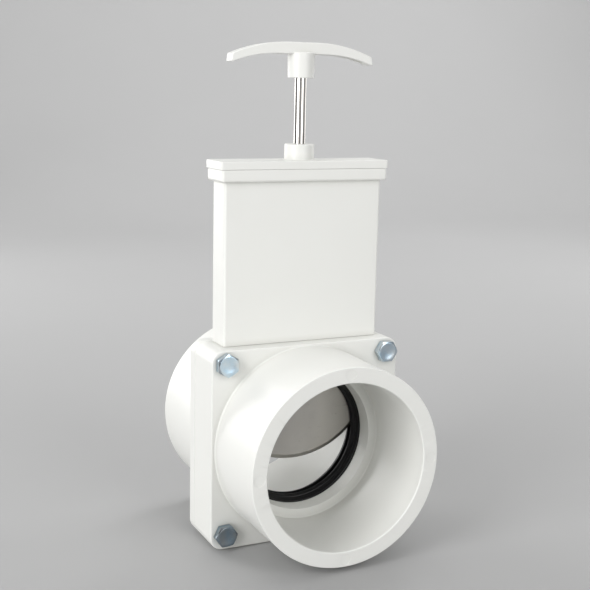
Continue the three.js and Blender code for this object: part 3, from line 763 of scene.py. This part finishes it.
def handle():
    bar = slab(
        handle_outline(), -HANDLE_HALF_DEPTH, HANDLE_HALF_DEPTH, "Y", HANDLE_EDGE, HANDLE_EDGE)
    grip_hub = turned(rounded([
        (0, HANDLE_UNDERSIDE, 0),
        (HANDLE_HUB_RADIUS - HANDLE_HUB_DRAFT, HANDLE_UNDERSIDE, 0.5),
        (HANDLE_HUB_RADIUS, HANDLE_HUB_TOP, 0.6),
        (0, HANDLE_HUB_TOP, 0),
    ], closed=False), BOSS_SEGMENTS, "Z")
    insert_top = HANDLE_UNDERSIDE + INSERT_LENGTH + 2 * CONTACT_GAP
    return cut(
        join(bar, grip_hub), arm_core(-1), arm_core(1),
        disc(INSERT_OUTER_RADIUS + CONTACT_GAP, HANDLE_UNDERSIDE - PAST, insert_top,
             BORE_SEGMENTS, "Z"),
        disc(STEM_RADIUS + CONTACT_GAP, HANDLE_UNDERSIDE - PAST, STEM_TOP + CONTACT_GAP,
             BORE_SEGMENTS, "Z"))


def handle_insert():
    low = HANDLE_UNDERSIDE + CONTACT_GAP
    high = low + INSERT_LENGTH
    inner = STEM_RADIUS + CONTACT_GAP
    profile = rounded([
        (inner, low, 0.3), (INSERT_OUTER_RADIUS, low, 0.3),
        (INSERT_OUTER_RADIUS, high, 0.3), (inner, high, 0.3)])
    return turned(profile, BORE_SEGMENTS, "Z", closed=True)


# ---- fasteners ------------------------------------------------------------------------------

HEAD_SEAT = -BODY_HALF_DEPTH - CONTACT_GAP
NUT_LOW = NUT_POCKET_FLOOR_Y + CONTACT_GAP
TIP_Y = HEAD_SEAT + BOLT_LENGTH


def hex_radius(angle, turn):
    """Distance from the axis to a hexagon with slightly rounded corners."""
    half_flats = HEX_ACROSS_FLATS / 2
    folded = (angle - turn) % (math.pi / 3) - math.pi / 6
    return min(half_flats / math.cos(folded), half_flats * HEX_CORNER_SHARE)


def hex_block(turn, low_face, high_face, bore=0.0):
    """Hexagon about Y. low_face and high_face give each end's height at a radius."""
    turn = -math.radians(turn)
    shares = HEX_RING_SHARES
    if bore:
        shares = [share for share in shares if share * HEX_ACROSS_FLATS / 2 > bore + 0.3]
    builder = bmesh.new()
    rings = []

    def ring(face, share=None):
        """Ring at a share of the hexagon's reach, or round the bore where there is none."""
        vertices = []
        for index in range(1 if share == 0 else HEX_SEGMENTS):
            angle = 2 * math.pi * index / HEX_SEGMENTS
            radius = bore if share is None else share * hex_radius(angle, turn)
            vertices.append(builder.verts.new(placed(
                "Y", radius * math.cos(angle), radius * math.sin(angle), face(radius))))
        return vertices

    if bore:
        rings.append(ring(low_face))
    rings += [ring(low_face, share) for share in shares]
    rings += [ring(high_face, share) for share in reversed(shares)]
    if bore:
        rings.append(ring(high_face))
        rings.append(rings[0])
    for first, second in zip(rings, rings[1:]):
        bridge(builder, first, second)
    return finished(builder)


def chamfered_face(face, inward, dish=0.0, lead_in=0.0):
    """Height of a hexagon's end at a radius: flat or dished, its corners turned down.

    inward is +1 where the solid lies above the face and -1 where it lies below.
    """
    flat_radius = HEX_ACROSS_FLATS / 2 * HEX_FLAT_SHARE

    def height(radius):
        drop = max(0.0, radius - flat_radius) * HEX_CORNER_SLOPE
        if dish:
            drop += dish * max(0.0, 1 - (radius / (flat_radius * HEAD_DISH_SHARE)) ** 2)
        if lead_in:
            drop += max(0.0, lead_in - radius)
        return face + inward * drop
    return height


def thread_radius(angle, along):
    """Radius of a thread with flat crests and roots, at a point round and along the shank."""
    phase = (along / THREAD_PITCH - angle / (2 * math.pi)) % 1.0
    flank_slope, root_share = 2.4, 0.1
    height = min(1.0, max(0.0, flank_slope * abs(phase - 0.5) - root_share))
    return BOLT_RADIUS - THREAD_DEPTH * (1 - height)


def shank():
    """Threaded shank from under the head to its chamfered tip."""
    thread_start = TIP_Y - THREAD_LENGTH
    plain_radius = BOLT_RADIUS - 0.02
    profile = [
        (0, HEAD_SEAT - PAST), (plain_radius, HEAD_SEAT - PAST), (plain_radius, thread_start - 0.6)]
    steps = int(THREAD_LENGTH / THREAD_PITCH * THREAD_STEPS_PER_PITCH)
    for step in range(steps + 1):
        profile.append((BOLT_RADIUS, thread_start + THREAD_LENGTH * step / steps))
    profile.append((0, TIP_Y))

    def radius_at(angle, radius, along):
        if along < thread_start - 0.1:
            return radius
        run_in = min(1.0, (along - thread_start) / THREAD_PITCH)
        cone = BOLT_RADIUS - max(0.0, TIP_CHAMFER - (TIP_Y - along))
        cut_in = radius - (radius - thread_radius(angle, along)) * run_in
        return min(cut_in, cone)
    return turned(profile, SMALL_SEGMENTS, radius_at=radius_at)


def bolt(turn):
    face = HEAD_SEAT - HEAD_HEIGHT
    head = hex_block(turn, chamfered_face(face, 1, dish=HEAD_DISH), lambda radius: HEAD_SEAT)
    return join(head, shank())


def nut():
    bore = BOLT_RADIUS + HOLE_CLEARANCE
    return hex_block(
        0, chamfered_face(NUT_LOW, 1, lead_in=bore + LEAD_IN),
        chamfered_face(NUT_LOW + NUT_HEIGHT, -1, lead_in=bore + LEAD_IN), bore)


# ---- materials ------------------------------------------------------------------------------

class Surface:
    """A node material in the making, over object coordinates in metres."""

    def __init__(self, name):
        self.material = bpy.data.materials.new(name)
        self.material.use_nodes = True
        self.tree = self.material.node_tree
        self.shader = self.tree.nodes["Principled BSDF"]
        self.place = self.node("ShaderNodeTexCoord").outputs["Object"]

    def node(self, kind, inputs=(), **settings):
        made = self.tree.nodes.new(kind)
        for key, value in settings.items():
            setattr(made, key, value)
        for socket, value in dict(inputs).items():
            if isinstance(value, bpy.types.NodeSocket):
                self.tree.links.new(value, made.inputs[socket])
            else:
                made.inputs[socket].default_value = value
        return made

    def set(self, socket, value):
        if isinstance(value, bpy.types.NodeSocket):
            self.tree.links.new(value, self.shader.inputs[socket])
        else:
            self.shader.inputs[socket].default_value = value

    def stretched(self, x, y, z):
        """Coordinates scaled on each axis, for grain with a direction."""
        return self.node("ShaderNodeMapping", {"Vector": self.place, "Scale": (x, y, z)}).outputs[0]

    def noise(self, size, detail=3.0, roughness=0.55, place=None):
        """Soft noise, 0 to 1, with features about size metres across."""
        return self.node("ShaderNodeTexNoise", {
            "Vector": place or self.place, "Scale": 1 / size, "Detail": detail,
            "Roughness": roughness}).outputs["Fac"]

    def spread(self, value, low, high, to_low=0.0, to_high=1.0):
        """value from low to high, spread over to_low to to_high and clamped."""
        return self.node("ShaderNodeMapRange", {
            "Value": value, "From Min": low, "From Max": high,
            "To Min": to_low, "To Max": to_high}, clamp=True).outputs[0]

    def maths(self, operation, first, second=0.0):
        return self.node("ShaderNodeMath", {0: first, 1: second}, operation=operation).outputs[0]

    def mixed(self, share, first, second, blend="MIX"):
        """Colour between first and second."""
        return self.node("ShaderNodeMix", {0: share, 6: first, 7: second},
                         data_type="RGBA", blend_type=blend).outputs[2]

    def tinted(self, share, base, tone):
        """base multiplied by a share of tone."""
        return self.mixed(share, base, tone, "MULTIPLY")

    def edges(self, radius, bite=0.06):
        """1 along convex and concave edges and 0 on open faces."""
        soft = self.node("ShaderNodeBevel", {"Radius": radius}, samples=4).outputs[0]
        hard = self.node("ShaderNodeNewGeometry").outputs["Normal"]
        facing = self.node("ShaderNodeVectorMath", {0: soft, 1: hard}, operation="DOT_PRODUCT")
        return self.spread(facing.outputs["Value"], 1.0 - bite, 0.998, 1.0, 0.0)

    def creases(self, reach):
        """1 in inner corners and 0 in the open, from ambient occlusion; used to paint shade there.
        """
        open_share = self.node("ShaderNodeAmbientOcclusion", {"Distance": reach}, samples=6)
        return self.spread(open_share.outputs["AO"], 0.35, 0.95, 1.0, 0.0)

    def bump(self, *layers):
        """Bumps one over another. A layer is (height 0 to 1, its depth in metres)."""
        normal = None
        for height, depth in layers:
            inputs = {"Height": height, "Distance": depth, "Strength": 1.0}
            if normal:
                inputs["Normal"] = normal
            normal = self.node("ShaderNodeBump", inputs).outputs[0]
        self.set("Normal", normal)


def colour(red, green, blue):
    return (red, green, blue, 1.0)


def grey(level):
    return colour(level, level, level)


def pvc(name, tone):
    """Moulded rigid PVC: faint flow variation, orange peel, sink, scuffs and painted shade in
    corners.
    """
    s = Surface(name)
    blotches = s.noise(0.06, 2)
    flow = s.noise(0.02, 2, place=s.stretched(1, 1, 0.5))
    peel = s.noise(0.0011, 2)
    grit = s.noise(0.00035, 2)
    scuffs = s.spread(s.noise(0.003, 5, 0.7, s.stretched(1, 1, 0.06)), 0.68, 0.80)
    wear_and_edge_highlight = s.edges(0.0007)
    painted_crease_shade = s.creases(0.004)
    base = s.mixed(s.spread(blotches, 0.3, 0.7), tone, colour(*(v * 0.985 for v in tone[:3])))
    base = s.tinted(s.spread(flow, 0.4, 0.8, 0.0, 0.5), base, colour(0.99, 0.99, 0.982))
    # Painted shade: the colour darkens in inner corners and creases.
    base = s.tinted(s.maths("MULTIPLY", painted_crease_shade, 0.6), base, colour(0.74, 0.735, 0.71))
    # Edges painted lighter, partly as wear and partly as a painted highlight.
    base = s.mixed(s.maths("MULTIPLY", wear_and_edge_highlight, 0.35), base, colour(0.90, 0.90, 0.89))
    s.set("Base Color", base)
    gloss = s.spread(s.noise(0.03, 2), 0.3, 0.7, 0.36, 0.41)
    gloss = s.maths("ADD", gloss, s.maths("MULTIPLY", scuffs, 0.02))
    gloss = s.maths("ADD", gloss, s.maths("MULTIPLY", wear_and_edge_highlight, 0.08))
    s.set("Roughness", s.maths("ADD", gloss, s.maths("MULTIPLY", painted_crease_shade, 0.08)))
    s.set("IOR", 1.5)
    s.bump((s.noise(0.03, 0), 0.00004), (peel, 0.0000022), (grit, 0.0000008))
    return s.material


def rolled_stainless(name):
    """Mill-finish sheet: fine rolling lines across it, cloudy patches, and edges lighter as rubbing
    and painted highlight.
    """
    s = Surface(name)
    lines = s.noise(0.0006, 4, 0.65, s.stretched(0.03, 1, 1))
    cloud = s.noise(0.014, 4)
    stain = s.spread(s.noise(0.007, 3), 0.5, 0.75)
    wear_and_edge_highlight = s.edges(0.0005)
    base = s.mixed(s.spread(cloud, 0.3, 0.7), colour(0.40, 0.385, 0.365), colour(0.45, 0.435, 0.41))
    base = s.mixed(s.maths("MULTIPLY", stain, 0.2), base, colour(0.36, 0.34, 0.30))
    # Edges painted lighter, partly as wear and partly as a painted highlight.
    base = s.mixed(s.maths("MULTIPLY", wear_and_edge_highlight, 0.5), base, colour(0.68, 0.66, 0.62))
    s.set("Base Color", base)
    s.set("Metallic", 1.0)
    s.set("Roughness", s.maths("ADD", s.spread(lines, 0.3, 0.7, 0.27, 0.30),
                               s.maths("MULTIPLY", stain, 0.03)))
    s.bump((lines, 0.0000003), (s.noise(0.0003, 2), 0.0000003))
    return s.material


def bright_bar(name):
    """Cold-drawn stainless bar: bright, with faint lines along it and light rub marks."""
    s = Surface(name)
    lines = s.noise(0.00025, 3, 0.6, s.stretched(1, 1, 0.004))
    rub = s.spread(s.noise(0.004, 4, 0.6, s.stretched(1, 1, 0.15)), 0.55, 0.75)
    wear_and_edge_highlight = s.edges(0.0003)
    base = s.mixed(s.spread(lines, 0.3, 0.7), colour(0.72, 0.695, 0.66), colour(0.80, 0.775, 0.745))
    # Edges painted lighter, partly as wear and partly as a painted highlight.
    base = s.mixed(s.maths("MULTIPLY", wear_and_edge_highlight, 0.4), base, colour(0.86, 0.84, 0.81))
    s.set("Base Color", base)
    s.set("Metallic", 1.0)
    rough = s.spread(lines, 0.3, 0.7, 0.04, 0.08)
    s.set("Roughness", s.maths("ADD", rough, s.maths("MULTIPLY", rub, 0.03)))
    s.bump((lines, 0.0000002))
    return s.material


def zinc(name, light_level):
    """Zinc plate with a blue passivate that shifts in tint, over forged steel.

    The last argument scales the colour: 1 for the plate's own colour and less for a darker copy
    that paints shade.
    """
    s = Surface(name)
    cloud = s.noise(0.0035, 3)
    tint = s.noise(0.006, 2, place=s.stretched(1, 1.4, 0.8))
    pits = s.noise(0.0006, 4, 0.6)
    wear_and_edge_highlight = s.edges(0.0006)
    painted_crease_shade = s.creases(0.0015)
    base = s.mixed(s.spread(tint, 0.35, 0.65), colour(0.44, 0.58, 0.70), colour(0.60, 0.66, 0.70))
    base = s.mixed(s.spread(cloud, 0.55, 0.75, 0, 0.35), base, colour(0.62, 0.62, 0.58))
    # Edges painted lighter, partly as wear and partly as a painted highlight.
    base = s.mixed(s.maths("MULTIPLY", wear_and_edge_highlight, 0.55), base, colour(0.78, 0.81, 0.84))
    # Painted shade: the colour darkens in crevices.
    base = s.tinted(s.maths("MULTIPLY", painted_crease_shade, 0.6), base, grey(0.45))
    # Darkens the whole colour for the shaded copy, as painted shade.
    base = s.tinted(1.0, base, grey(light_level))
    s.set("Base Color", base)
    s.set("Metallic", 1.0)
    s.set("Roughness", s.maths("ADD", s.spread(cloud, 0.3, 0.7, 0.17, 0.27),
                               s.maths("MULTIPLY", painted_crease_shade, 0.15)))
    s.bump((s.noise(0.0025, 2), 0.00002), (pits, 0.000006))
    return s.material


def rubber(name):
    """Black moulded rubber with a faint bloom and pale dust where it is rubbed."""
    s = Surface(name)
    bloom = s.spread(s.noise(0.006, 5, 0.6), 0.45, 0.75)
    dust = s.spread(s.noise(0.0009, 4, 0.7), 0.62, 0.75)
    wear_and_edge_highlight = s.edges(0.0004)
    base = s.mixed(s.maths("MULTIPLY", bloom, 0.5), colour(0.004, 0.004, 0.005),
                   colour(0.012, 0.012, 0.013))
    base = s.mixed(s.maths("MULTIPLY", dust, 0.05), base, colour(0.15, 0.14, 0.13))
    # Edges painted lighter, partly as wear and partly as a painted highlight.
    base = s.mixed(s.maths("MULTIPLY", wear_and_edge_highlight, 0.1), base, grey(0.05))
    s.set("Base Color", base)
    s.set("Roughness", s.spread(bloom, 0.0, 1.0, 0.36, 0.5))
    s.set("Specular IOR Level", 0.3)
    s.bump((s.noise(0.004, 2), 0.00002), (s.noise(0.0004, 3), 0.000004))
    return s.material


def machined_brass(name):
    """Turned brass with fine rings about Z and tarnished patches."""
    s = Surface(name)
    rings = s.noise(0.0003, 2, place=s.stretched(0.05, 0.05, 1))
    tarnish = s.spread(s.noise(0.003, 4), 0.45, 0.75)
    wear_and_edge_highlight = s.edges(0.0003)
    base = s.mixed(s.maths("MULTIPLY", tarnish, 0.6), colour(0.72, 0.55, 0.26),
                   colour(0.45, 0.32, 0.15))
    # Edges painted lighter, partly as wear and partly as a painted highlight.
    base = s.mixed(s.maths("MULTIPLY", wear_and_edge_highlight, 0.5), base, colour(0.84, 0.70, 0.42))
    s.set("Base Color", base)
    s.set("Metallic", 1.0)
    s.set("Roughness", s.spread(tarnish, 0, 1, 0.24, 0.45))
    s.bump((rings, 0.000004))
    return s.material


# ---- pieces ---------------------------------------------------------------------------------

PVC_TONE = colour(0.83, 0.832, 0.80)
SHARP_ANGLE = math.radians(30)  # wider than the facets of the rounds, so those stay smooth

white = pvc("white_pvc", PVC_TONE)
sheet_steel = rolled_stainless("rolled_stainless")
bar_steel = bright_bar("bright_stainless_bar")
# The same plate twice: as it is for the upper bolts, and darker, as painted shade, for the lower
# ones near the floor.
lit_plate = zinc("lit_zinc_plate", 1.0)
shaded_plate = zinc("shaded_zinc_plate", 0.6)
black = rubber("black_rubber")
brass = machined_brass("machined_brass")


def add_piece(node, mesh, material, body):
    """Puts a finished mesh in the row frame as the piece that stands for a CAD node."""
    mesh.transform(TO_ROW)
    mesh.name = "fine_" + node
    mesh.materials.clear()
    mesh.materials.append(material)
    smooth_faces(mesh)
    mesh.set_sharp_from_angle(angle=SHARP_ANGLE)
    piece = linked("fine_" + node, mesh)
    normals = piece.modifiers.new("even_normals", "WEIGHTED_NORMAL")
    normals.keep_sharp = True
    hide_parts(node)
    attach(piece, body)


FIXED = "valve_body"
SLIDING = "gate_assembly"

add_piece("front_body", front_body(), white, FIXED)
add_piece("rear_body", rear_body(), white, FIXED)
add_piece("bonnet", bonnet(), white, FIXED)
add_piece("bonnet_cap", bonnet_cap(), white, FIXED)
add_piece("gland_bush", gland_bush(), white, FIXED)
add_piece("front_gate_seal", gate_seal(-1), black, FIXED)
add_piece("rear_gate_seal", gate_seal(1), black, FIXED)
body_ring = o_ring(BODY_RING_RADIUS, BODY_RING_SECTION, BODY_RING_Y, "Y", BODY_RING_SEGMENTS)
add_piece("body_o_ring", body_ring, black, FIXED)
add_piece("stem_o_ring_lower", stem_ring(0), black, FIXED)
add_piece("stem_o_ring_upper", stem_ring(1), black, FIXED)
for corner, side_x, side_z, head_turn in BOLTS:
    # The lower bolts and nuts take the darker copy, as painted shade.
    lit_or_shaded_plate = lit_plate if side_z > 0 else shaded_plate
    for kind, mesh in (("bolt", bolt(head_turn)), ("nut", nut())):
        add_piece(f"{kind}_{corner}", moved(mesh, side_x * BOLT_X, 0, side_z * BOLT_Z),
                  lit_or_shaded_plate, FIXED)

add_piece("gate", gate(), sheet_steel, SLIDING)
add_piece("stem", stem(), bar_steel, SLIDING)
add_piece("gate_rivet_upper", rivet(RIVET_HEIGHTS[0]), bar_steel, SLIDING)
add_piece("gate_rivet_lower", rivet(RIVET_HEIGHTS[1]), bar_steel, SLIDING)
add_piece("handle", handle(), white, SLIDING)
add_piece("handle_insert", handle_insert(), brass, SLIDING)


# ---- camera, lights and floor, in metres ----------------------------------------------------

CAMERA_PLACE = (-0.25786, -0.54444, 0.24578)
CAMERA_ANGLES = (-25.29, 10.54, 1.24)  # azimuth, elevation and roll, in degrees
FOCAL_LENGTH = 68.26
FLOOR_FRONT_Y = -4.0
FLOOR_CURVE_Y = 1.2  # where the floor starts to rise
FLOOR_CURVE_RADIUS = 0.8
FLOOR_CURVE_STEPS = 16
FLOOR_HALF_WIDTH = 5.0
FLOOR_DROP = 0.0003  # below the valve's underside
BACKDROP_TOP = 4.0
CARD_CORNERS = (
    (-0.55, -0.64, 0.0), (-0.17, -0.82, 0.0), (-0.17, -0.82, 0.17), (-0.55, -0.64, 0.17))
WORLD_LEVEL = 0.35
LIGHTS = (  # name, place, target, width, height, watts
    ("key", (-1.15, -0.50, 0.66), (0, 0, 0.66), 0.7, 1.3, 15),
    ("front", (0.36, -1.2, 0.66), (0, 0, 0.66), 0.7, 1.3, 6.3),
    ("top", (0.2, 0.3, 1.8), (0, 0, 0.1), 1.4, 1.0, 8),
    ("back", (-0.55, 1.1, 0.5), (0, 0, 0.1), 0.5, 1.0, 6),
    ("right", (1.2, 0.3, 0.5), (0, 0, 0.3), 0.5, 1.0, 3),
    ("backdrop", (1.3, 0.9, 1.7), (1.1, 2.0, 0.5), 1.0, 0.6, 15.5),
)


def add_camera():
    """The photograph's view, from a camera fitted to the valve's straight edges and circles."""
    azimuth, elevation, roll = (math.radians(angle) for angle in CAMERA_ANGLES)
    forward = Vector((-math.sin(azimuth) * math.cos(elevation),
                      math.cos(azimuth) * math.cos(elevation), -math.sin(elevation)))
    right = Vector((math.cos(azimuth), math.sin(azimuth), 0))
    up = right.cross(forward)
    turned_right = math.cos(roll) * right + math.sin(roll) * up
    turned_up = -math.sin(roll) * right + math.cos(roll) * up
    data = bpy.data.cameras.new("camera")
    data.sensor_width = 36.0
    data.lens = FOCAL_LENGTH
    data.clip_start, data.clip_end = 0.01, 50
    camera = linked("camera", data)
    rotation = Matrix((turned_right, turned_up, -forward)).transposed().to_4x4()
    camera.matrix_world = Matrix.Translation(CAMERA_PLACE) @ rotation
    bpy.context.scene.camera = camera


def add_light(name, place, target, width, height, watts):
    data = bpy.data.lights.new(name, "AREA")
    data.shape = "RECTANGLE"
    data.size, data.size_y = width, height
    data.energy = watts
    light = linked(name, data)
    light.visible_camera = False
    light.location = place
    light.rotation_mode = "QUATERNION"
    light.rotation_quaternion = (Vector(target) - Vector(place)).to_track_quat("-Z", "Y")


def add_floor():
    """Floor that curves up into a backdrop."""
    profile = [(FLOOR_FRONT_Y, 0.0)]
    for step in range(FLOOR_CURVE_STEPS + 1):
        angle = math.pi / 2 * step / FLOOR_CURVE_STEPS
        profile.append((FLOOR_CURVE_Y + FLOOR_CURVE_RADIUS * math.sin(angle),
                        FLOOR_CURVE_RADIUS * (1 - math.cos(angle))))
    profile.append((FLOOR_CURVE_Y + FLOOR_CURVE_RADIUS, BACKDROP_TOP))
    builder = bmesh.new()
    rows = [[builder.verts.new((x, y, z - FLOOR_DROP))
             for x in (-FLOOR_HALF_WIDTH, FLOOR_HALF_WIDTH)] for y, z in profile]
    for first, second in zip(rows, rows[1:]):
        builder.faces.new((first[0], first[1], second[1], second[0]))
    mesh = mesh_from(builder, "floor")
    smooth_faces(mesh)
    floor = linked("floor", mesh)
    paper = Surface("paper")
    across, along, _ = paper.node("ShaderNodeSeparateXYZ", {0: paper.place}).outputs
    # Painted light falloff: the paper darkens towards the front left and lightens towards the back
    # right.
    painted_falloff = paper.maths("ADD", along, across)
    tone = paper.mixed(paper.spread(painted_falloff, -0.7, 1.8), grey(0.38), grey(0.54))
    paper.set("Base Color", paper.tinted(paper.noise(0.3, 3), tone, grey(0.96)))
    paper.set("Roughness", 0.75)
    mesh.materials.append(paper.material)


def add_world(level):
    world = bpy.data.worlds.new("studio")
    world.use_nodes = True
    background = world.node_tree.nodes["Background"]
    background.inputs["Color"].default_value = grey(level)
    bpy.context.scene.world = world


def add_dark_card():
    """Low dark card below the camera, which the bright stem mirrors as a thin dark line.

    It shows only in reflections.
    """
    builder = bmesh.new()
    builder.faces.new([builder.verts.new(corner) for corner in CARD_CORNERS])
    mesh = mesh_from(builder, "dark_card")
    card = linked("dark_card", mesh)
    felt = Surface("felt")
    felt.set("Base Color", felt.mixed(felt.noise(0.01, 3), grey(0.01), grey(0.02)))
    felt.set("Roughness", 0.9)
    mesh.materials.append(felt.material)
    card.visible_camera = False
    card.visible_diffuse = False
    card.visible_shadow = False


add_camera()
add_floor()
add_dark_card()
add_world(WORLD_LEVEL)
for light in LIGHTS:
    add_light(*light)
bpy.context.scene.view_settings.view_transform = "Standard"
